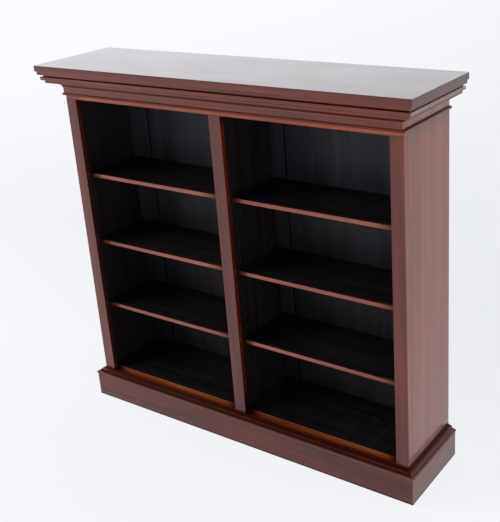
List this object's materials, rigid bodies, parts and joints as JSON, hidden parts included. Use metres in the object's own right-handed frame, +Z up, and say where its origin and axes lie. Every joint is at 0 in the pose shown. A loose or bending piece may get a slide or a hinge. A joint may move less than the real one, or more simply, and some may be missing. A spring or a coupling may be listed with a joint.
{
  "type": "bookcase",
  "caption": "Open-fronted mahogany bookcase with two bays of adjustable shelves on pegs, a moulded cornice and a moulded plinth",
  "frame": {"origin": "on the floor, below the middle of the overall box", "axes": "X runs along the width, the open front faces -Y, Z is up"},
  "size_m": [1.424, 0.353, 1.289],
  "materials": {
    "polished_mahogany": "French-polished mahogany",
    "lipping_mahogany": "lighter polished mahogany edging",
    "stained_interior": "dark-stained, satin polish",
    "brass": "turned, dull"
  },
  "bodies": {
    "case": {"back_muntin": "stained_interior", "back_panel_left": "stained_interior", "back_panel_right": "stained_interior", "back_rail_bottom": "stained_interior", "back_rail_top": "stained_interior", "back_stile_left": "stained_interior", "back_stile_right": "stained_interior", "base_rail": "polished_mahogany", "bead_front": "polished_mahogany", "bead_left": "polished_mahogany", "bead_right": "polished_mahogany", "bottom_left": "stained_interior", "bottom_lip_left": "lipping_mahogany", "bottom_lip_right": "lipping_mahogany", "bottom_right": "stained_interior", "cornice_front": "polished_mahogany", "cornice_left": "polished_mahogany", "cornice_right": "polished_mahogany", "divider": "stained_interior", "frieze_board": "polished_mahogany", "pegs_left_1": "brass", "pegs_left_2": "brass", "pegs_left_3": "brass", "pegs_right_1": "brass", "pegs_right_2": "brass", "pegs_right_3": "brass", "plinth_front": "polished_mahogany", "plinth_left": "polished_mahogany", "plinth_mould_front": "polished_mahogany", "plinth_mould_left": "polished_mahogany", "plinth_mould_right": "polished_mahogany", "plinth_right": "polished_mahogany", "side_left": "polished_mahogany", "side_right": "polished_mahogany", "stile_centre": "polished_mahogany", "stile_left": "polished_mahogany", "stile_right": "polished_mahogany", "top_board": "polished_mahogany", "top_rail": "lipping_mahogany", "under_top": "polished_mahogany"},
    "loose_shelf_left_1": {"shelf_left_1": "stained_interior", "lip_left_1": "lipping_mahogany"},
    "loose_shelf_left_2": {"shelf_left_2": "stained_interior", "lip_left_2": "lipping_mahogany"},
    "loose_shelf_left_3": {"shelf_left_3": "stained_interior", "lip_left_3": "lipping_mahogany"},
    "loose_shelf_right_1": {"shelf_right_1": "stained_interior", "lip_right_1": "lipping_mahogany"},
    "loose_shelf_right_2": {"shelf_right_2": "stained_interior", "lip_right_2": "lipping_mahogany"},
    "loose_shelf_right_3": {"shelf_right_3": "stained_interior", "lip_right_3": "lipping_mahogany"}
  },
  "joints": [
    {"name": "lift_left_1", "type": "slide", "parent": "case", "child": "loose_shelf_left_1", "axis": [0, 0, 1], "range_m": [0, 0.231]},
    {"name": "lift_left_2", "type": "slide", "parent": "case", "child": "loose_shelf_left_2", "axis": [0, 0, 1], "range_m": [0, 0.231]},
    {"name": "lift_left_3", "type": "slide", "parent": "case", "child": "loose_shelf_left_3", "axis": [0, 0, 1], "range_m": [0, 0.365]},
    {"name": "lift_right_1", "type": "slide", "parent": "case", "child": "loose_shelf_right_1", "axis": [0, 0, 1], "range_m": [0, 0.231]},
    {"name": "lift_right_2", "type": "slide", "parent": "case", "child": "loose_shelf_right_2", "axis": [0, 0, 1], "range_m": [0, 0.231]},
    {"name": "lift_right_3", "type": "slide", "parent": "case", "child": "loose_shelf_right_3", "axis": [0, 0, 1], "range_m": [0, 0.365]}
  ]
}
